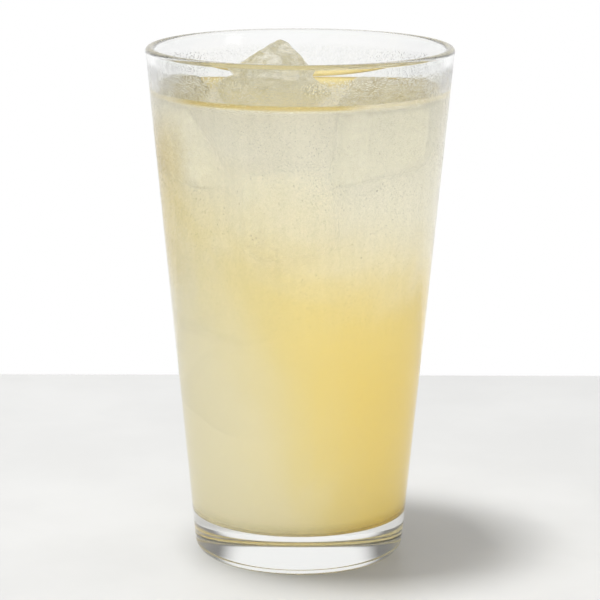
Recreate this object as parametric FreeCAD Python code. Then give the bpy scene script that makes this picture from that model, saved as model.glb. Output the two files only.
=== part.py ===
import FreeCAD, Part
import math
import os

# Tall straight-sided pint tumbler of cloudy lemonade with pieces of ice.
# Millimetres.  +Z up.  Origin: centre of the base, on the plane the glass
# stands on.  -Y is the side the drink is usually looked at from.

V = FreeCAD.Vector

# ---------------------------------------------------------------- sizes ----
HEIGHT = 149.0            # foot to lip
FOOT_R = 30.2             # where the outer cone meets the plane it stands on
LIP_R = 44.2              # where the outer cone meets the lip plane
HEEL_R = 4.9              # rounding between wall and foot
RING_IN = 22.4            # inner edge of the flat ring it stands on
RING_RUN = 2.2            # width of the slope from ring to punt
PUNT_DEEP = 0.9           # height of the hollow under the base

FLOOR_Z = 11.6            # top of the thick base
FLOOR_DISH = 0.7          # the floor is this much lower in its middle
CORNER_R = 6.5            # rounding between floor and inner wall
WALL_LOW = 3.1            # wall at the floor
WALL_TOP = 2.5            # wall under the bead of the lip

BEAD_OUT = 0.0            # fire-polished bead: beyond the cone's radius at the lip
BEAD_IN = 0.22            # and inside it
BEAD_LOW = 4.6            # where the bead starts, below the lip
LIP_ROUND = 1.36          # half thickness of the lip

LEVEL_Z = 135.0           # flat surface of the drink
MENISCUS = 2.5            # climb of the drink at the wall
MENISCUS_RUN = 4.2        # how far from the wall the climb starts


def outer_r(z):
    return FOOT_R + (LIP_R - FOOT_R) * z / HEIGHT


def inner_r(z):
    wall = WALL_LOW + (WALL_TOP - WALL_LOW) * (z - FLOOR_Z) / (HEIGHT - FLOOR_Z)
    return outer_r(z) - wall


def rz(r, z):
    return V(r, 0, z)


def line(a, b):
    return Part.LineSegment(a, b).toShape()


def arc(a, m, b):
    return Part.Arc(a, m, b).toShape()


def touch(p, c, r, side):
    """Where a straight line from p touches the circle of radius r at c, on
    the given side of the line p->c, in the XZ plane."""
    d = c - p
    turn = math.asin(r / d.Length) * side
    reach = math.sqrt(d.Length ** 2 - r ** 2)
    ca, sa = math.cos(turn), math.sin(turn)
    u = d.normalize()
    return p + V(u.x * ca - u.z * sa, 0, u.x * sa + u.z * ca) * reach


def revolve(edges):
    """A full turn about Z.  The seam lies a few degrees off the X axis."""
    wire = Part.Wire(Part.__sortEdges__(edges))
    body = Part.Face(wire).revolve(V(0, 0, 0), V(0, 0, 1), 360)
    body.rotate(V(0, 0, 0), V(0, 0, 1), 7)
    return body


def corner_fillet(p, a, b, r):
    """Tangent points and mid point of a fillet of radius r at p, between
    the directions p->a and p->b, in the XZ plane."""
    u = (a - p).normalize()
    w = (b - p).normalize()
    half = math.acos(max(-1, min(1, u.dot(w)))) / 2
    t = r / math.tan(half)
    c = p + (u + w).normalize() * (r / math.sin(half))
    m = c + (p - c).normalize() * r
    return p + u * t, m, p + w * t


# ---------------------------------------------------------------- glass ----
# The inner side, from the middle of the floor up to the bead, is used twice:
# by the glass and by the drink that fills it.
floor_mid = rz(0, FLOOR_Z - FLOOR_DISH)
floor_edge = rz(inner_r(FLOOR_Z), FLOOR_Z)
wall_high = rz(inner_r(HEIGHT), HEIGHT)
in_a, in_m, in_b = corner_fillet(floor_edge, rz(0, FLOOR_Z), wall_high, CORNER_R)


def inner_side(z_top):
    """Edges from the middle of the floor to the inner wall at z_top."""
    top = rz(inner_r(z_top), z_top)
    half = rz(in_a.x * 0.5, FLOOR_Z - FLOOR_DISH * 0.75)
    return [arc(floor_mid, half, in_a), arc(in_a, in_m, in_b), line(in_b, top)], top


def build_glass():
    bead_z = HEIGHT - BEAD_LOW
    edges, inner_top = inner_side(bead_z)
    # lip: a half round between two flanks that part a little from the wall
    mid_r = (outer_r(HEIGHT) + BEAD_OUT + inner_r(HEIGHT) - BEAD_IN) / 2
    lip_c = rz(mid_r, HEIGHT - LIP_ROUND)
    lip_top = lip_c + V(0, 0, LIP_ROUND)
    lip_in = touch(inner_top, lip_c, LIP_ROUND, 1)
    out_low = rz(outer_r(bead_z), bead_z)
    lip_out = touch(out_low, lip_c, LIP_ROUND, -1)
    edges.append(line(inner_top, lip_in))
    edges.append(arc(lip_in, lip_top, lip_out))
    edges.append(line(lip_out, out_low))
    # outer wall and heel
    foot = rz(FOOT_R, 0)
    h_a, h_m, h_b = corner_fillet(foot, rz(0, 0), rz(LIP_R, HEIGHT), HEEL_R)
    edges.append(line(out_low, h_b))
    edges.append(arc(h_b, h_m, h_a))
    # ring, slope and punt
    edges.append(line(h_a, rz(RING_IN, 0)))
    punt = rz(RING_IN - RING_RUN, PUNT_DEEP)
    edges.append(line(rz(RING_IN, 0), punt))
    edges.append(line(punt, rz(0, PUNT_DEEP)))
    edges.append(line(rz(0, PUNT_DEEP), floor_mid))
    return revolve(edges)


# ------------------------------------------------------------------ ice ----
def chunk(centre, faces, melt):
    """A melted block of ice: every face is a plane, given as its outward
    direction and how far it is from the centre.  The block is cut smaller by
    the melting radius and grown back, which rounds every edge and corner."""
    body = Part.makeBox(120, 120, 120, centre - V(60, 60, 60))
    for direction, dist in faces:
        n = V(*direction).normalize()
        slab = Part.makeBox(200, 200, 100, V(-100, -100, 0))
        slab.Placement = FreeCAD.Placement(centre + n * (dist - melt), FreeCAD.Rotation(V(0, 0, 1), n))
        body = body.cut(slab)
    grown = body.Solids[0].makeOffsetShape(melt, 1e-4, join=0)
    return grown.Solids[0] if grown.Solids else Part.Solid(grown.Shells[0])


def through(centre, direction, point):
    """A face of a chunk that passes through a point."""
    n = V(*direction).normalize()
    return (direction, n.dot(V(*point) - centre))


def wall_face(centre, azimuth, gap):
    """A face of a chunk that lies along the inner wall, a gap away from it."""
    a = math.radians(azimuth)
    lean = math.atan((inner_r(LEVEL_Z) - inner_r(FLOOR_Z)) / (LEVEL_Z - FLOOR_Z))
    r = inner_r(LEVEL_Z) - gap
    return through(centre, (math.cos(a) * math.cos(lean), math.sin(a) * math.cos(lean), -math.sin(lean)),
                   (r * math.cos(a), r * math.sin(a), LEVEL_Z))


# Block standing on its edge at the back: one corner is above the lip.
PEAK_TIP = (-4.4, 9.0, 151.5)         # sharp corner, before melting
PEAK_THICK = (26.0, 25.0, 21.0)       # across left, right and front faces
peak_c = V(-6, 17, 132)
left_up, right_up, front_up = (-0.540, 0.10, 0.83), (0.775, 0.16, 0.62), (-0.30, -0.90, 0.30)
peak_faces = []
for n, t in zip((left_up, right_up, front_up), PEAK_THICK):
    f = through(peak_c, n, PEAK_TIP)
    peak_faces.append(f)
    peak_faces.append((tuple(-k for k in n), t - f[1]))

# Broad block on the right, its top leaning towards the front wall.
right_c = V(21, -14, 128)
RIGHT_TOP = (14.7, -6.0, 142.6)
right_faces = [
    through(right_c, (0.025, -0.174, 0.984), RIGHT_TOP),
    through(right_c, (-0.975, 0.172, 0.14), (12.0, -20.0, 139.5)),
    through(right_c, (0.10, 0.985, 0.10), (22.0, -4.5, 140.0)),
    through(right_c, (0.66, -0.745, -0.10), (23.6, -29.4, 137.5)),
    through(right_c, (0.975, -0.20, -0.10), (37.2, -10.0, 139.0)),
    through(right_c, (-0.30, -0.95, -0.07), (11.5, -35.4, 137.0)),
    through(right_c, (0.05, 0.10, -0.99), (20.0, -15.0, 116.5)),
]

# Narrow block along the left wall, melted to the wall's curve.
left_c = V(-28, -8, 127)
left_faces = [
    through(left_c, (0.06, -0.115, 0.99), (-34.0, -5.0, 139.7)),
    through(left_c, (0.86, -0.06, 0.50), (-29.3, -8.0, 139.0)),
    wall_face(left_c, 212, 1.1), wall_face(left_c, 192, 1.1), wall_face(left_c, 172, 1.1),
    through(left_c, (-0.10, 0.985, 0.12), (-34.0, 9.0, 138.0)),
    through(left_c, (0.98, 0.05, -0.15), (-15.5, -5.0, 124.0)),
    through(left_c, (0.10, -0.99, 0.05), (-24.0, -26.0, 125.0)),
    through(left_c, (0.05, 0.10, -0.99), (-26.0, -8.0, 113.5)),
]

glass = build_glass()
ice_peak = chunk(peak_c, peak_faces, 3.4)
ice_right = chunk(right_c, right_faces, 2.6)
ice_left = chunk(left_c, left_faces, 2.4)

# ---------------------------------------------------------------- drink ----
side, wall_line = inner_side(LEVEL_Z + MENISCUS)
flat_end = rz(wall_line.x - MENISCUS_RUN, LEVEL_Z)
climb_r = (MENISCUS_RUN ** 2 + MENISCUS ** 2) / (2 * MENISCUS)
climb_a = math.atan(MENISCUS / MENISCUS_RUN)
climb_mid = flat_end + V(climb_r * math.sin(climb_a), 0, climb_r * (1 - math.cos(climb_a)))
side.append(arc(wall_line, climb_mid, flat_end))
side.append(line(flat_end, rz(0, LEVEL_Z)))
side.append(line(rz(0, LEVEL_Z), floor_mid))
lemonade = revolve(side)
for piece in (ice_peak, ice_right, ice_left):
    lemonade = lemonade.cut(piece)
if len(lemonade.Solids) == 1:
    lemonade = lemonade.Solids[0]

# --------------------------------------------------------------- export ----
nodes = {"glass": glass, "lemonade": lemonade, "ice_peak": ice_peak,
         "ice_right": ice_right, "ice_left": ice_left}

os.makedirs("parts", exist_ok=True)
for name, shape in nodes.items():
    print(name, "valid", shape.isValid(), "solids", len(shape.Solids),
          "volume_cm3", round(shape.Volume / 1000, 2))
    shape.exportStep("parts/" + name + ".step")
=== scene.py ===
import math
import random

import bmesh
import bpy
import numpy as np
from mathutils import Euler, Matrix, Vector, noise
from mathutils.bvhtree import BVHTree

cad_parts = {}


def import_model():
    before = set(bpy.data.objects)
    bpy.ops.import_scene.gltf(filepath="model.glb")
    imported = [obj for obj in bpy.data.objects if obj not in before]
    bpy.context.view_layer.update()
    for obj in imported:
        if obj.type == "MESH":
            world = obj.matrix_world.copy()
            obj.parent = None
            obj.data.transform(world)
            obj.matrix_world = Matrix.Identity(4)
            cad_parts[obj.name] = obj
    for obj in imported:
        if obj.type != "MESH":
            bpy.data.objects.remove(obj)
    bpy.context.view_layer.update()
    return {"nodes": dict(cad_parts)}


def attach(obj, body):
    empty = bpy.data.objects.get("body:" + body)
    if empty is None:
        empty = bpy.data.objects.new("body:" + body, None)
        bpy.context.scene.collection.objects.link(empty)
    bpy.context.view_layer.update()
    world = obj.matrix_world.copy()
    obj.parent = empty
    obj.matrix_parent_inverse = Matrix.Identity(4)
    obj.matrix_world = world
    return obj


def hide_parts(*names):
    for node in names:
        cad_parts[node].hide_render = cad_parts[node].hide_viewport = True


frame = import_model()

MM = 0.001
ROOT = "root"
scene = bpy.context.scene

# ------------------------------------------------------------ sizes, in mm
HEIGHT, FOOT_R, LIP_R, HEEL_R = 149.0, 30.2, 44.2, 4.9
RING_IN, RING_RUN, PUNT_DEEP = 22.4, 2.2, 0.9
FLOOR_Z, FLOOR_DISH, CORNER_R = 11.6, 0.7, 6.5
WALL_LOW, WALL_TOP = 3.1, 2.5
BEAD_IN, BEAD_LOW, LIP_ROUND = 0.22, 4.6, 1.36
LEVEL_Z, MENISCUS, MENISCUS_RUN = 135.0, 2.5, 4.2
INTO_WALL = 0.12          # how far the drink reaches into the wall


def outer_r(z):
    return FOOT_R + (LIP_R - FOOT_R) * z / HEIGHT


def inner_r(z):
    return outer_r(z) - (WALL_LOW + (WALL_TOP - WALL_LOW) * (z - FLOOR_Z) / (HEIGHT - FLOOR_Z))


# ------------------------------------------------------------ profile tools
def round_path(points, radii, step=6.0):
    """A polyline through points with each inner corner rounded."""
    out = [np.array(points[0], float)]
    for k in range(1, len(points) - 1):
        a, p, b = (np.array(q, float) for q in (points[k - 1], points[k], points[k + 1]))
        r = radii[k]
        if r <= 0:
            out.append(p)
            continue
        u, w = (a - p), (b - p)
        lu, lw = np.linalg.norm(u), np.linalg.norm(w)
        u, w = u / lu, w / lw
        half = math.acos(max(-1.0, min(1.0, float(u @ w)))) / 2
        t = min(r / math.tan(half), lu * 0.49, lw * 0.49)
        r = t * math.tan(half)
        c = p + (u + w) / np.linalg.norm(u + w) * (r / math.sin(half))
        p0, p1 = p + u * t, p + w * t
        a0 = math.atan2(p0[1] - c[1], p0[0] - c[0])
        a1 = math.atan2(p1[1] - c[1], p1[0] - c[0])
        turn = (a1 - a0 + math.pi) % (2 * math.pi) - math.pi
        n = max(2, int(abs(turn) / math.radians(step)))
        for i in range(n + 1):
            an = a0 + turn * i / n
            out.append(c + r * np.array([math.cos(an), math.sin(an)]))
    out.append(np.array(points[-1], float))
    return out


def fill_path(path, longest):
    """The same polyline with no side longer than `longest`."""
    out = [path[0]]
    for a, b in zip(path[:-1], path[1:]):
        n = max(1, int(math.ceil(np.linalg.norm(b - a) / longest)))
        for i in range(1, n + 1):
            out.append(a + (b - a) * i / n)
    return out


def lathe(name, profile, segments, material_of=None):
    """A closed solid of revolution.  The profile runs from axis to axis."""
    verts, faces, mats, rings = [], [], [], []
    for r, z in profile:
        if r < 1e-6:
            rings.append([len(verts)])
            verts.append((0.0, 0.0, z * MM))
        else:
            first = len(verts)
            for i in range(segments):
                a = 2 * math.pi * i / segments
                verts.append((r * math.cos(a) * MM, r * math.sin(a) * MM, z * MM))
            rings.append(list(range(first, first + segments)))
    for k in range(len(rings) - 1):
        lo, hi = rings[k], rings[k + 1]
        mat = material_of(profile[k], profile[k + 1]) if material_of else 0
        for i in range(segments):
            j = (i + 1) % segments
            if len(lo) == 1 and len(hi) == 1:
                continue
            if len(lo) == 1:
                faces.append((lo[0], hi[j], hi[i]))
            elif len(hi) == 1:
                faces.append((lo[i], lo[j], hi[0]))
            else:
                faces.append((lo[i], lo[j], hi[j], hi[i]))
            mats.append(mat)
    return new_piece(name, verts, faces, mats)


def new_piece(name, verts, faces, mats=None, smooth=True):
    me = bpy.data.meshes.new(name)
    me.from_pydata([tuple(v) for v in verts], [], faces)
    me.update()
    if mats:
        me.polygons.foreach_set("material_index", mats)
    if smooth:
        me.polygons.foreach_set("use_smooth", [True] * len(me.polygons))
    bm = bmesh.new()
    bm.from_mesh(me)
    bmesh.ops.recalc_face_normals(bm, faces=bm.faces)
    bm.to_mesh(me)
    bm.free()
    me.validate()
    ob = bpy.data.objects.new(name, me)
    scene.collection.objects.link(ob)
    return ob


# ------------------------------------------------------------ node helpers
class Nodes:
    def __init__(self, name):
        self.mat = bpy.data.materials.new(name)
        self.mat.use_nodes = True
        self.nt = self.mat.node_tree
        self.nt.nodes.clear()
        self.out = self.nt.nodes.new("ShaderNodeOutputMaterial")

    def add(self, kind, **sets):
        n = self.nt.nodes.new(kind)
        for k, v in sets.items():
            if hasattr(n, k):
                setattr(n, k, v)
            else:
                n.inputs[k.replace("_", " ")].default_value = v
        return n

    def link(self, a, b):
        self.nt.links.new(a, b)

    def math(self, op, a, b=None, c=None, clamp=False):
        n = self.nt.nodes.new("ShaderNodeMath")
        n.operation = op
        n.use_clamp = clamp
        for i, v in enumerate((a, b, c)):
            if v is None:
                continue
            if isinstance(v, (int, float)):
                n.inputs[i].default_value = v
            else:
                self.link(v, n.inputs[i])
        return n.outputs[0]

    def ramp(self, value, lo, hi, a=0.0, b=1.0, smooth=True):
        n = self.nt.nodes.new("ShaderNodeMapRange")
        n.interpolation_type = "SMOOTHSTEP" if smooth else "LINEAR"
        n.inputs["From Min"].default_value = lo
        n.inputs["From Max"].default_value = hi
        n.inputs["To Min"].default_value = a
        n.inputs["To Max"].default_value = b
        self.link(value, n.inputs["Value"])
        return n.outputs["Result"]

    def mix(self, fac, a, b):
        n = self.nt.nodes.new("ShaderNodeMix")
        n.data_type = "RGBA"
        n.clamp_factor = True
        for sock, v in ((n.inputs[0], fac), (n.inputs[6], a), (n.inputs[7], b)):
            if isinstance(v, (int, float)):
                sock.default_value = v
            elif isinstance(v, tuple):
                sock.default_value = v if len(v) == 4 else (*v, 1)
            else:
                self.link(v, sock)
        return n.outputs[2]

    def noise(self, scale, detail=2.0, rough=0.5, vector=None, distortion=0.0):
        n = self.nt.nodes.new("ShaderNodeTexNoise")
        n.inputs["Scale"].default_value = scale
        n.inputs["Detail"].default_value = detail
        n.inputs["Roughness"].default_value = rough
        n.inputs["Distortion"].default_value = distortion
        if vector is not None:
            self.link(vector, n.inputs["Vector"])
        return n.outputs["Fac"]

    def coords(self):
        return self.nt.nodes.new("ShaderNodeTexCoord").outputs["Object"]

    def xyz(self, vector):
        n = self.nt.nodes.new("ShaderNodeSeparateXYZ")
        self.link(vector, n.inputs[0])
        return n.outputs

    def lamps_pass(self, shader, tint, floor_too=False):
        """Glass that lets lamps through: the light of lamps isn't stopped,
        and with floor_too neither is what the floor gets from around it."""
        lp = self.nt.nodes.new("ShaderNodeLightPath")
        tr = self.nt.nodes.new("ShaderNodeBsdfTransparent")
        tr.inputs["Color"].default_value = (*tint, 1)
        mx = self.nt.nodes.new("ShaderNodeMixShader")
        passes = lp.outputs["Is Shadow Ray"]
        if floor_too:
            passes = self.math("MAXIMUM", passes, lp.outputs["Is Diffuse Ray"])
        self.link(passes, mx.inputs[0])
        self.link(shader, mx.inputs[1])
        self.link(tr.outputs[0], mx.inputs[2])
        self.link(mx.outputs[0], self.out.inputs["Surface"])


def srgb(r, g, b):
    def f(c):
        c /= 255.0
        return c / 12.92 if c <= 0.04045 else ((c + 0.055) / 1.055) ** 2.4
    return (f(r), f(g), f(b))


# ------------------------------------------------------------ materials
def clear_glass():
    m = Nodes("clear_glass")
    p = m.add("ShaderNodeBsdfPrincipled")
    p.inputs["Transmission Weight"].default_value = 1.0
    p.inputs["IOR"].default_value = 1.5
    co = m.coords()
    tone = m.noise(22.0, 2.0, 0.5, co)
    m.link(m.mix(m.ramp(tone, 0.3, 0.7), (0.975, 0.985, 0.975), (0.985, 0.99, 0.985)), p.inputs["Base Color"])
    rough = m.noise(60.0, 3.0, 0.6, co)
    m.link(m.ramp(rough, 0.4, 0.8, 0.0, 0.012), p.inputs["Roughness"])
    m.lamps_pass(p.outputs[0], (0.97, 0.975, 0.97), True)
    return m.mat


def misted_glass():
    """The outer wall: clear glass with a breath of cold mist on it."""
    m = Nodes("misted_glass")
    p = m.add("ShaderNodeBsdfPrincipled")
    p.inputs["Transmission Weight"].default_value = 1.0
    p.inputs["IOR"].default_value = 1.5
    co = m.coords()
    x, y, z = m.xyz(co)
    # mist: from the middle of the glass up to just under the lip
    height = m.math("MULTIPLY", m.ramp(z, 0.050, 0.105), m.ramp(z, 0.1455, 0.1425))
    speck = m.ramp(m.noise(1500.0, 2.0, 0.6, co), 0.40, 0.62)
    smear = m.nt.nodes.new("ShaderNodeMapping")
    smear.inputs["Scale"].default_value = (1.0, 1.0, 0.10)
    m.link(co, smear.inputs["Vector"])
    run = m.ramp(m.noise(420.0, 3.0, 0.6, smear.outputs[0]), 0.35, 0.65)
    frost = m.math("MULTIPLY", height, m.math("MULTIPLY_ADD", run, 0.35, m.math("MULTIPLY", speck, 0.65)))
    m.link(m.mix(frost, (0.99, 0.99, 0.985), (0.86, 0.87, 0.85)), p.inputs["Base Color"])
    patch = m.ramp(m.noise(45.0, 4.0, 0.6, co), 0.30, 0.62)
    mist = m.math("MULTIPLY", height, m.math("MULTIPLY_ADD", patch, 0.6, 0.4))
    grain = m.nt.nodes.new("ShaderNodeTexVoronoi")
    grain.feature = "F1"
    grain.inputs["Scale"].default_value = 1900.0
    m.link(co, grain.inputs["Vector"])
    bead = m.ramp(grain.outputs["Distance"], 0.0, 0.55, 1.0, 0.0)
    bump = m.nt.nodes.new("ShaderNodeBump")
    bump.inputs["Distance"].default_value = 0.00015
    m.link(m.math("MULTIPLY", mist, 0.7), bump.inputs["Strength"])
    m.link(bead, bump.inputs["Height"])
    m.link(bump.outputs[0], p.inputs["Normal"])
    m.link(m.math("MULTIPLY_ADD", mist, 0.10, 0.0), p.inputs["Roughness"])
    m.lamps_pass(p.outputs[0], (0.97, 0.975, 0.97), True)
    return m.mat


def drink_colour(m, co, haze):
    """Cloudy lemonade, with painted light and shade: paler on the left, where the
    light comes in, deeper yellow low on the right, where it has passed through
    the drink; whitish towards the top and where ice is close under the surface."""
    x, y, z = m.xyz(co)
    deep, mid, pale, white = srgb(241, 210, 104), srgb(241, 221, 144), srgb(242, 232, 193), srgb(253, 248, 230)
    swirl = m.noise(18.0, 3.0, 0.55, co, 0.8)
    # painted light and shade: the drink is paler on the left, where the light comes in, and deeper yellow low on the
    # right
    side = m.math("ADD", x, m.math("MULTIPLY_ADD", swirl, 0.030, -0.015))
    lift = m.math("ADD", z, m.math("MULTIPLY_ADD", swirl, -0.040, 0.020))
    lift = m.math("MULTIPLY_ADD", x, 0.35, lift)
    side = m.math("ADD", side, m.math("MULTIPLY_ADD", z, 0.28, -0.014))
    tone = m.mix(m.ramp(side, -0.030, 0.004), pale, mid)
    tone = m.mix(m.math("MULTIPLY", m.ramp(side, -0.012, 0.020), m.ramp(z, 0.112, 0.052)), tone, deep)
    tone = m.mix(m.math("MULTIPLY", m.ramp(lift, 0.080, 0.120), 0.95), tone, white)
    tone = m.mix(haze, tone, white)
    # painted shade: a darker yellow streak down the left side of the drink, where the wall bends the view
    edge = m.math("MULTIPLY", m.ramp(x, -0.028, -0.039), m.math("MULTIPLY", m.ramp(z, 0.137, 0.118), m.ramp(z, 0.074, 0.092)))
    tone = m.mix(m.math("MULTIPLY", edge, 0.85), tone, srgb(232, 208, 126))
    # painted shade: a darker line where it climbs the wall, faint where ice lies against it
    near = m.math("MULTIPLY", m.ramp(x, 0.020, 0.010), m.ramp(x, -0.036, -0.028))
    near = m.math("MAXIMUM", near, m.ramp(y, -0.010, 0.010))
    line = m.math("MULTIPLY", m.ramp(z, 0.1359, 0.1366), m.math("MULTIPLY_ADD", near, 0.7, 0.3))
    return m.mix(line, tone, srgb(212, 190, 116))


SCATTER = 100.0                      # per metre
FORWARD = 0.55
SOAK = (0.05, 0.4, 2.4)              # per metre, for red, green, blue


def drink_material(name, top):
    m = Nodes(name)
    p = m.add("ShaderNodeBsdfPrincipled")
    co = m.coords()
    at = m.nt.nodes.new("ShaderNodeAttribute")
    at.attribute_name = "haze"
    haze = m.math("MULTIPLY", at.outputs["Fac"], 0.8, clamp=True)
    tone = drink_colour(m, co, haze)
    # painted shade: the top surface gets a darker, deeper yellow of its own, darker still in the ring where it climbs
    # the wall
    if top:
        x, y, z = m.xyz(co)
        r = m.math("SQRT", m.math("ADD", m.math("MULTIPLY", x, x), m.math("MULTIPLY", y, y)))
        tone = m.mix(m.ramp(r, 0.0360, 0.0390), m.mix(0.95, tone, srgb(248, 229, 160)), srgb(238, 218, 150))
    m.link(tone, p.inputs["Base Color"])
    p.inputs["Transmission Weight"].default_value = 0.75
    p.inputs["IOR"].default_value = 1.33
    if top:
        p.inputs["Roughness"].default_value = 0.03
    else:
        p.inputs["Roughness"].default_value = 0.12
        p.inputs["Specular IOR Level"].default_value = 0.15
    m.lamps_pass(p.outputs[0], (1, 1, 1))
    # pulp scatters the light, the juice takes a little of the blue
    scatter = m.nt.nodes.new("ShaderNodeVolumeScatter")
    scatter.inputs["Color"].default_value = (1, 1, 1, 1)
    scatter.inputs["Density"].default_value = SCATTER
    scatter.inputs["Anisotropy"].default_value = FORWARD
    soak = m.nt.nodes.new("ShaderNodeVolumeAbsorption")
    most = max(SOAK)
    soak.inputs["Color"].default_value = tuple(1 - q / most for q in SOAK) + (1,)
    soak.inputs["Density"].default_value = most
    both = m.nt.nodes.new("ShaderNodeAddShader")
    m.link(scatter.outputs[0], both.inputs[0])
    m.link(soak.outputs[0], both.inputs[1])
    m.link(both.outputs[0], m.out.inputs["Volume"])
    return m.mat


def ice_material(name, rough, grain, relief, cloud, forward, frost, dark, light):
    """Ice: cloudy inside, with melted hollows and a frosted pattern where it
    is out of the drink.  frost: scale of the pattern along x, y and z."""
    m = Nodes(name)
    p = m.add("ShaderNodeBsdfPrincipled")
    co = m.coords()
    streak = m.nt.nodes.new("ShaderNodeMapping")
    streak.inputs["Scale"].default_value = (1.0, 1.0, 3.0)
    streak.inputs["Rotation"].default_value = (0.3, 0.9, 0.4)
    m.link(co, streak.inputs["Vector"])
    st = m.noise(grain, 6.0, 0.62, streak.outputs[0], 0.8)
    spot = m.noise(90.0, 3.0, 0.6, co)
    p.inputs["IOR"].default_value = 1.31
    x, y, z = m.xyz(co)
    tone = m.mix(m.ramp(spot, 0.35, 0.7), srgb(246, 246, 238), srgb(254, 254, 250))
    etch = m.nt.nodes.new("ShaderNodeMapping")
    etch.inputs["Scale"].default_value = frost
    etch.inputs["Rotation"].default_value = (0.10, 0.06, 0.35)
    m.link(co, etch.inputs["Vector"])
    dry = m.mix(m.ramp(m.noise(1.0, 5.0, 0.68, etch.outputs[0], 0.7), 0.40, 0.60), dark, light)
    m.link(m.mix(m.ramp(z, 0.1335, 0.1365), tone, dry), p.inputs["Base Color"])
    p.inputs["Transmission Weight"].default_value = 0.9
    m.link(m.ramp(st, 0.35, 0.75, rough[0], rough[1]), p.inputs["Roughness"])
    bump = m.nt.nodes.new("ShaderNodeBump")
    bump.inputs["Distance"].default_value = relief[0]
    bump.inputs["Strength"].default_value = relief[1]
    m.link(st, bump.inputs["Height"])
    m.link(bump.outputs[0], p.inputs["Normal"])
    m.lamps_pass(p.outputs[0], (0.93, 0.94, 0.92))
    scatter = m.nt.nodes.new("ShaderNodeVolumeScatter")
    scatter.inputs["Color"].default_value = (1, 1, 1, 1)
    scatter.inputs["Density"].default_value = cloud
    scatter.inputs["Anisotropy"].default_value = forward
    m.link(scatter.outputs[0], m.out.inputs["Volume"])
    return m.mat


# ------------------------------------------------------------ glass
def glass_profile():
    bead_z = HEIGHT - BEAD_LOW
    mid_r = (outer_r(HEIGHT) + inner_r(HEIGHT) - BEAD_IN) / 2
    lip = []
    for i in range(0, 25):
        a = math.radians(180 - i * 7.5)
        lip.append((mid_r + LIP_ROUND * math.cos(a), HEIGHT - LIP_ROUND + LIP_ROUND * math.sin(a)))
    low_in = [(0, FLOOR_Z - FLOOR_DISH)]
    for k in (0.25, 0.5, 0.75):
        low_in.append((24.0 * k, FLOOR_Z - FLOOR_DISH * (1 - k * k)))
    inside = round_path([(24.0 * 0.76, FLOOR_Z - FLOOR_DISH * 0.42), (inner_r(FLOOR_Z), FLOOR_Z),
                         (inner_r(bead_z), bead_z)], [0, CORNER_R, 0], 5)
    outside = round_path([(outer_r(bead_z), bead_z), (FOOT_R, 0), (RING_IN, 0),
                          (RING_IN - RING_RUN, PUNT_DEEP), (0, PUNT_DEEP)], [0, HEEL_R, 0.35, 1.2, 0], 5)
    path = [np.array(q, float) for q in low_in] + inside[1:] + [np.array(q) for q in lip] + outside
    return fill_path(path, 2.5)


glass = lathe("tumbler", glass_profile(), 256,
              lambda a, b: 1 if (a[0] > inner_r(a[1]) + 1.0 and b[0] > inner_r(b[1]) + 1.0
                                 and 8 < b[1] < HEIGHT - 2 and 8 < a[1] < HEIGHT - 2) else 0)
glass.data.materials.append(clear_glass())
glass.data.materials.append(misted_glass())

# ------------------------------------------------------------ ice
WATER_CLEAR = ((300.0, 300.0, 300.0), srgb(240, 238, 224), srgb(252, 251, 247))
top_ice = {
    "ice_peak": ice_material("ice_peak", (0.0, 0.16), 130.0, (0.0022, 1.0), 22.0, 0.3,
                             (260.0, 260.0, 420.0), srgb(214, 210, 188), srgb(255, 255, 253)),
    "ice_right": ice_material("ice_right", (0.0, 0.2), 130.0, (0.0022, 1.0), 24.0, 0.3,
                              (240.0, 300.0, 900.0), srgb(204, 194, 160), srgb(255, 254, 248)),
    "ice_left": ice_material("ice_left", (0.05, 0.3), 130.0, (0.0022, 1.0), 26.0, 0.3,
                             (900.0, 900.0, 900.0), srgb(160, 154, 130), srgb(250, 248, 236)),
}
sunk_ice = ice_material("sunk_ice", (0.05, 0.14), 260.0, (0.0005, 0.2), SCATTER * 0.8, FORWARD, *WATER_CLEAR)


def remesh(ob, voxel, smooth=6):
    mod = ob.modifiers.new("r", "REMESH")
    mod.mode = "VOXEL"
    mod.voxel_size = voxel * MM
    sm = ob.modifiers.new("s", "SMOOTH")
    sm.iterations = smooth
    dg = bpy.context.evaluated_depsgraph_get()
    me = bpy.data.meshes.new_from_object(ob.evaluated_get(dg))
    ob.modifiers.clear()
    ob.data = me
    me.polygons.foreach_set("use_smooth", [True] * len(me.polygons))
    return ob


def melt(ob, seed, wave=0.55, dent=0.9, fine=0.12):
    """Uneven, melted faces: long hollows and a little fine unevenness."""
    me = ob.data
    n = len(me.vertices)
    co = np.empty(n * 3)
    no = np.empty(n * 3)
    me.vertices.foreach_get("co", co)
    me.vertices.foreach_get("normal", no)
    co, no = co.reshape(-1, 3), no.reshape(-1, 3)
    off = Vector((seed * 7.1, seed * 3.7, seed * 1.9))
    for i in range(n):
        p = Vector(co[i]) / MM
        d = -dent * max(0.0, noise.noise(p / 13.0 + off)) - wave * 0.5 * (1 + noise.noise(p / 5.5 + off * 2))
        d += fine * noise.noise(p / 1.9 + off)
        co[i] += no[i] * d * MM
    me.vertices.foreach_set("co", co.reshape(-1))
    me.update()


def ice_from_node(node, seed):
    me = frame["nodes"][node].data.copy()
    ob = bpy.data.objects.new(node + "_ice", me)
    scene.collection.objects.link(ob)
    me.materials.clear()
    remesh(ob, 0.6, 3)
    melt(ob, seed, 0.6, 1.0, 0.30)
    ob.data.materials.clear()
    ob.data.materials.append(top_ice[node])
    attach(ob, ROOT)
    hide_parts(node)
    return ob


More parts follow.
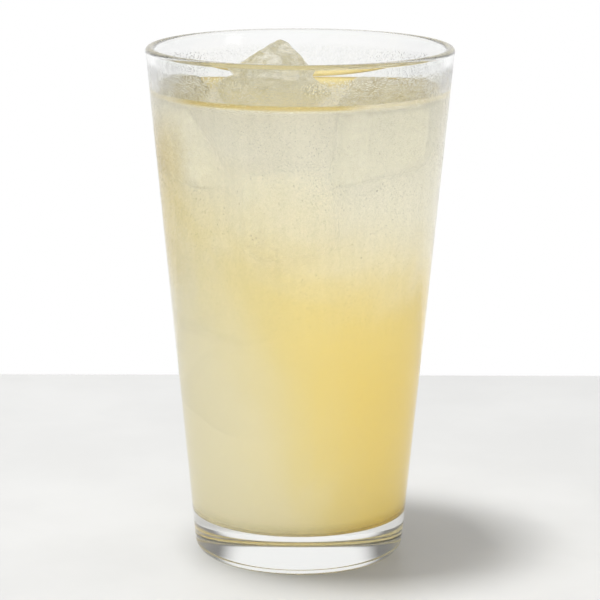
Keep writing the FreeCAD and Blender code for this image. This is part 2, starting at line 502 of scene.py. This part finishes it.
def ice_block(name, centre, size, turn, seed, soft=7.5):
    """A sunk block of ice, rounded and uneven."""
    bm = bmesh.new()
    bmesh.ops.create_cube(bm, size=1.0)
    rnd = random.Random(seed)
    for v in bm.verts:
        v.co.x *= size[0] * (1 + rnd.uniform(-0.08, 0.03))
        v.co.y *= size[1] * (1 + rnd.uniform(-0.08, 0.03))
        v.co.z *= size[2] * (1 + rnd.uniform(-0.08, 0.03))
    bmesh.ops.bevel(bm, geom=list(bm.edges), offset=soft, segments=4, profile=0.6, affect="EDGES")
    rot = Euler([math.radians(a) for a in turn]).to_matrix().to_4x4()
    bm.transform(Matrix.Scale(MM, 4) @ Matrix.Translation(Vector(centre)) @ rot)
    me = bpy.data.meshes.new(name)
    bm.to_mesh(me)
    bm.free()
    ob = bpy.data.objects.new(name, me)
    scene.collection.objects.link(ob)
    remesh(ob, 0.9, 4)
    melt(ob, seed)
    ob.data.materials.append(sunk_ice)
    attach(ob, ROOT)
    return ob


ices = [ice_from_node("ice_peak", 1), ice_from_node("ice_right", 2), ice_from_node("ice_left", 3)]
SUNK = [
    ("sunk_front", (-4.0, -19.5, 107.0), (27, 25, 27), (8, -6, 14), 11),
    ("sunk_back", (13.0, 16.0, 104.0), (27, 27, 26), (20, 12, 35), 12),
    ("sunk_left", (-15.5, -2.0, 79.0), (26, 26, 27), (-12, 20, 8), 13),
    ("sunk_low", (-9.5, 4.0, 49.0), (25, 24, 25), (24, 10, 30), 14),
    ("sunk_chip", (-11.5, -8.0, 127.0), (13, 24, 11), (3, 6, -8), 15),
]
for row in SUNK:
    ices.append(ice_block(*row))

# ------------------------------------------------------------ drink


def drink_profile():
    w = INTO_WALL
    low = [(0, FLOOR_Z - FLOOR_DISH - w)]
    for k in (0.25, 0.5, 0.75):
        low.append((24.0 * k, FLOOR_Z - FLOOR_DISH * (1 - k * k) - w))
    wall_z = LEVEL_Z + MENISCUS
    inside = round_path([(24.0 * 0.76, FLOOR_Z - FLOOR_DISH * 0.42 - w), (inner_r(FLOOR_Z) + w, FLOOR_Z - w),
                         (inner_r(wall_z) + w, wall_z)], [0, CORNER_R, 0], 5)
    top = []
    climb_r = (MENISCUS_RUN ** 2 + MENISCUS ** 2) / (2 * MENISCUS)
    whole = 2 * math.atan(MENISCUS / MENISCUS_RUN)
    flat = inner_r(wall_z) - MENISCUS_RUN
    for i in range(11, -1, -1):
        a = whole * i / 11
        top.append((flat + climb_r * math.sin(a), LEVEL_Z + climb_r * (1 - math.cos(a))))
    top.append((0, LEVEL_Z))
    side = fill_path([np.array(q, float) for q in low] + inside[1:], 1.6)
    cap = fill_path([np.array(q, float) for q in top], 1.0)
    return side + cap, len(side)


profile, n_side = drink_profile()
drink = lathe("lemonade_drink", profile, 224,
              lambda a, b: 1 if (a[1] > LEVEL_Z - 0.5 and a[0] < inner_r(a[1]) - 0.02 + 0.0
                                 or b[1] <= LEVEL_Z + 0.001 and b[1] > LEVEL_Z - 0.5 and b[0] < 38) else 0)

tree_v, tree_f = [], []
for ob in ices:
    base = len(tree_v)
    tree_v += [tuple(v.co / MM) for v in ob.data.vertices]
    tree_f += [[base + k for k in q.vertices] for q in ob.data.polygons]
tree = BVHTree.FromPolygons(tree_v, tree_f)

def cavity(ob, shrink=0.12, top=LEVEL_Z - 0.4):
    bm = bmesh.new(); bm.from_mesh(ob.data)
    bm.normal_update()
    for v in bm.verts:
        v.co -= v.normal * shrink * MM
    g = bm.verts[:] + bm.edges[:] + bm.faces[:]
    r = bmesh.ops.bisect_plane(bm, geom=g, plane_co=(0, 0, top * MM), plane_no=(0, 0, 1), clear_outer=True)
    cut = [e for e in bm.edges if e.is_boundary]
    if cut:
        bmesh.ops.holes_fill(bm, edges=cut, sides=0)
    bmesh.ops.recalc_face_normals(bm, faces=bm.faces)
    bmesh.ops.reverse_faces(bm, faces=bm.faces)
    return bm

bmd = bmesh.new(); bmd.from_mesh(drink.data)
for ob in ices:
    c = cavity(ob)
    tmp = bpy.data.meshes.new("tmp"); c.to_mesh(tmp); c.free()
    bmd.from_mesh(tmp)
bmd.to_mesh(drink.data); bmd.free()
for q in drink.data.polygons: q.use_smooth = True
me = drink.data
cone = [(0.0, 0.0)]
for k in range(6):
    cone.append((0.55, k * math.pi / 3))
for k in range(8):
    cone.append((0.95, k * math.pi / 4 + 0.2))
haze = np.zeros(len(me.vertices))
for i, v in enumerate(me.vertices):
    n = -v.normal
    t = n.orthogonal().normalized()
    b = n.cross(t)
    start = v.co / MM
    total = 0.0
    for lean, an in cone:
        d = (n * math.cos(lean) + (t * math.cos(an) + b * math.sin(an)) * math.sin(lean)).normalized()
        hit = tree.ray_cast(start + n * 0.01, d, 40.0)
        if hit[0] is not None:
            total += math.exp(-hit[3] / 7.0)
    haze[i] = total / len(cone)
att = me.attributes.new("haze", "FLOAT", "POINT")
att.data.foreach_set("value", haze.astype(np.float32))

drink.data.materials.append(drink_material("cloudy_lemonade", False))
drink.data.materials.append(drink_material("cloudy_lemonade_top_shaded", True))

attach(glass, ROOT)
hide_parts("glass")
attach(drink, ROOT)
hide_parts("lemonade")

# ------------------------------------------------------------ condensation


def droplets(fine, large, seed):
    """Flat caps of water on the outer wall: a fine grain over the cold part
    and a few larger drops."""
    rnd = random.Random(seed)
    verts, faces = [], []
    lean = math.atan((LIP_R - FOOT_R) / HEIGHT)

    def cap(a, z, r, n):
        radial = Vector((math.cos(a) * math.cos(lean), math.sin(a) * math.cos(lean), -math.sin(lean)))
        across = Vector((-math.sin(a), math.cos(a), 0))
        up = radial.cross(across)
        foot = Vector((outer_r(z) * math.cos(a), outer_r(z) * math.sin(a), z)) - radial * 0.02
        tall = r * rnd.uniform(0.30, 0.42)
        long = rnd.uniform(1.0, 1.25)
        base = len(verts)
        rings = ((1.0, 0.0), (0.66, 0.75)) if n < 8 else ((1.0, 0.0), (0.80, 0.58), (0.42, 0.90))
        for share, height in rings:
            for i in range(n):
                t = 2 * math.pi * i / n
                verts.append((foot + across * (r * share * math.cos(t)) + up * (r * long * share * math.sin(t))
                              + radial * (tall * height)) * MM)
        verts.append((foot + radial * tall) * MM)
        verts.append(foot * MM)
        tip, mid = len(verts) - 2, len(verts) - 1
        last = base + (len(rings) - 1) * n
        for i in range(n):
            j = (i + 1) % n
            for k in range(len(rings) - 1):
                lo, hi = base + k * n, base + (k + 1) * n
                faces.append((lo + i, lo + j, hi + j, hi + i))
            faces.append((last + i, last + j, tip))
            faces.append((base + j, base + i, mid))

    made = 0
    while made < fine:
        z = rnd.uniform(58, 134)
        a = rnd.uniform(0, 2 * math.pi)
        wet = min(1.0, (z - 50) / 60.0) ** 1.8
        patch = 0.5 + 0.5 * noise.noise(Vector((math.cos(a) * 2.6, math.sin(a) * 2.6, z / 20.0 + seed)))
        if rnd.random() < wet * max(0.0, 2.4 * patch - 0.75):
            cap(a, z, rnd.uniform(0.07, 0.15), 6)
            made += 1
    for i in range(large):
        cap(rnd.uniform(0, 2 * math.pi), rnd.uniform(92, 132), rnd.uniform(0.14, 0.26), 10)
    ob = new_piece("condensation", verts, faces)
    m = Nodes("water")
    p = m.add("ShaderNodeBsdfPrincipled")
    p.inputs["Transmission Weight"].default_value = 1.0
    p.inputs["IOR"].default_value = 1.33
    tone = m.noise(80.0, 2.0, 0.5, m.coords())
    m.link(m.mix(tone, (0.97, 0.98, 0.97), (1, 1, 1)), p.inputs["Base Color"])
    p.inputs["Roughness"].default_value = 0.0
    m.lamps_pass(p.outputs[0], (0.97, 0.975, 0.97))
    ob.data.materials.append(m.mat)
    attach(ob, ROOT)
    return ob


water = droplets(5400, 60, 5)

# ------------------------------------------------------------ stage
TABLE_EDGE = 0.212


def stage():
    verts = [(-3, -3, 0), (3, -3, 0), (3, 3, 0), (-3, 3, 0)]
    floor = new_piece("floor", verts, [(0, 1, 2, 3)], smooth=False)
    m = Nodes("pale_floor")
    p = m.add("ShaderNodeBsdfPrincipled", Roughness=0.5)
    co = m.coords()
    x, y, z = m.xyz(co)
    cloud = m.noise(14.0, 4.0, 0.6, co)
    tone = m.mix(m.ramp(cloud, 0.35, 0.7), srgb(176, 176, 175), srgb(181, 181, 180))
    m.link(tone, p.inputs["Base Color"])
    far = m.add("ShaderNodeEmission", Strength=1.0)
    pick = m.nt.nodes.new("ShaderNodeMixShader")
    m.link(m.ramp(y, TABLE_EDGE - 0.001, TABLE_EDGE + 0.001), pick.inputs[0])
    m.link(p.outputs[0], pick.inputs[1])
    m.link(far.outputs[0], pick.inputs[2])
    m.link(pick.outputs[0], m.out.inputs["Surface"])
    floor.data.materials.append(m.mat)
    return floor


floor = stage()


def world():
    w = bpy.data.worlds.new("studio")
    scene.world = w
    w.use_nodes = True
    nt = w.node_tree
    nt.nodes.clear()
    out = nt.nodes.new("ShaderNodeOutputWorld")
    tc = nt.nodes.new("ShaderNodeTexCoord")
    sep = nt.nodes.new("ShaderNodeSeparateXYZ")
    nt.links.new(tc.outputs["Generated"], sep.inputs[0])

    def ramp(sock, lo, hi, a, b):
        n = nt.nodes.new("ShaderNodeMapRange")
        n.interpolation_type = "SMOOTHSTEP"
        n.inputs["From Min"].default_value = lo
        n.inputs["From Max"].default_value = hi
        n.inputs["To Min"].default_value = a
        n.inputs["To Max"].default_value = b
        nt.links.new(sock, n.inputs["Value"])
        return n.outputs["Result"]

    def calc(op, a, b):
        n = nt.nodes.new("ShaderNodeMath")
        n.operation = op
        for i, v in enumerate((a, b)):
            if isinstance(v, (int, float)):
                n.inputs[i].default_value = v
            else:
                nt.links.new(v, n.inputs[i])
        return n.outputs[0]

    # soft light all round, more of it from the right and from behind
    soft = calc("ADD", ramp(sep.outputs["X"], -0.6, 0.9, W_LEFT, W_RIGHT), ramp(sep.outputs["Y"], -0.2, 0.8, 0.0, W_BACK))
    soft = calc("MULTIPLY", soft, ramp(sep.outputs["Z"], 0.25, 0.85, 1.0, W_TOP))
    # what the glass bends and mirrors: a bright backdrop between darker sides
    back = ramp(sep.outputs["Y"], 0.72, 0.88, 0.20, 0.92)
    front = ramp(sep.outputs["Y"], -0.80, -0.30, 0.45, 0.0)
    strip = calc("MULTIPLY", ramp(sep.outputs["X"], 0.70, 0.76, 0.0, 1.6), ramp(sep.outputs["X"], 0.90, 0.84, 0.0, 1.0))
    strip = calc("MULTIPLY", strip, ramp(sep.outputs["Y"], 0.10, -0.10, 0.0, 1.0))
    sides = calc("ADD", calc("ADD", back, front), strip)
    lp = nt.nodes.new("ShaderNodeLightPath")
    clear = calc("MAXIMUM", lp.outputs["Is Transmission Ray"], lp.outputs["Is Glossy Ray"])
    level = calc("ADD", calc("MULTIPLY", sides, clear), calc("MULTIPLY", soft, calc("SUBTRACT", 1.0, clear)))
    sky = nt.nodes.new("ShaderNodeBackground")
    sky.inputs["Color"].default_value = (1, 1, 1, 1)
    nt.links.new(level, sky.inputs["Strength"])
    seen = nt.nodes.new("ShaderNodeBackground")
    seen.inputs["Color"].default_value = (1, 1, 1, 1)
    mix = nt.nodes.new("ShaderNodeMixShader")
    nt.links.new(lp.outputs["Is Camera Ray"], mix.inputs[0])
    nt.links.new(sky.outputs[0], mix.inputs[1])
    nt.links.new(seen.outputs[0], mix.inputs[2])
    nt.links.new(mix.outputs[0], out.inputs["Surface"])


W_LEFT, W_RIGHT, W_BACK, W_TOP = 1.15, 1.35, 0.3, 0.5
world()


def area(name, at, aim, size, power, size_y=None):
    li = bpy.data.lights.new(name, "AREA")
    li.energy = power
    li.size = size
    if size_y:
        li.shape = "RECTANGLE"
        li.size_y = size_y
    ob = bpy.data.objects.new(name, li)
    ob.location = at
    ob.rotation_euler = (Vector(aim) - Vector(at)).to_track_quat("-Z", "Y").to_euler()
    scene.collection.objects.link(ob)
    return ob


def only_for(lamp, names):
    group = bpy.data.collections.new("lit_by_" + lamp.name)
    for ob in names:
        group.objects.link(ob)
    lamp.light_linking.receiver_collection = group
    lamp.visible_glossy = False
    lamp.visible_transmission = False


# one lamp draws the shadow on the floor, the others only fill the drink
only_for(area("key_above", (-0.13, -0.03, 0.95), (0, 0, 0.0), 0.16, 11.0), [floor])
for name, at, power in (("fill_left", (-1.0, -0.55, 0.30), 9.2), ("fill_right", (1.0, -0.45, 0.30), 6.6),
                        ("fill_back", (0.1, 1.2, 0.45), 6.6)):
    only_for(area(name, at, (0, 0, 0.08), 1.0, power), [glass, drink, water] + ices)

spot = bpy.data.lights.new("fill_upper", "SPOT")
spot.energy = 86.0
spot.spot_size = math.radians(8.5)
spot.spot_blend = 1.0
spot.shadow_soft_size = 0.1
high = bpy.data.objects.new("fill_upper", spot)
high.location = (0.0, -1.0, 0.42)
high.rotation_euler = (Vector((0, 0, 0.137)) - Vector(high.location)).to_track_quat("-Z", "Y").to_euler()
scene.collection.objects.link(high)
only_for(high, [drink])

low_light = bpy.data.lights.new("fill_lower", "SPOT")
low_light.energy = 44.0
low_light.spot_size = math.radians(5.5)
low_light.spot_blend = 1.0
low_light.shadow_soft_size = 0.1
low = bpy.data.objects.new("fill_lower", low_light)
low.location = (0.0, -1.0, 0.12)
low.rotation_euler = (Vector((0, 0, 0.018)) - Vector(low.location)).to_track_quat("-Z", "Y").to_euler()
scene.collection.objects.link(low)
only_for(low, [drink])
only_for(area("fill_top", (0.05, -0.35, 0.75), (0, 0, 0.14), 0.3, 3.3), ices + [drink])

# ------------------------------------------------------------ camera
cam = bpy.data.cameras.new("view")
cam.sensor_fit = "HORIZONTAL"
cam.sensor_width = 36.0
cam.lens = 2733.9 / 600 * 36.0
cam.clip_start = 0.01
cam.clip_end = 20
view = bpy.data.objects.new("view", cam)
view.matrix_world = (Matrix.Translation((0.000163, -0.7768, 0.2442))
                     @ Matrix.Rotation(math.pi / 2 - 0.2147, 4, "X") @ Matrix.Rotation(0.003, 4, "Z"))
scene.collection.objects.link(view)
scene.camera = view

scene.view_settings.view_transform = "Standard"
scene.view_settings.look = "None"
scene.cycles.use_denoising = True
scene.cycles.max_bounces = 32
scene.cycles.volume_bounces = 16
scene.cycles.transmission_bounces = 20
scene.cycles.transparent_max_bounces = 24
scene.cycles.glossy_bounces = 6
scene.cycles.diffuse_bounces = 4
scene.cycles.caustics_reflective = False
scene.cycles.caustics_refractive = True
scene.cycles.sample_clamp_indirect = 6.0

bpy.context.view_layer.update()
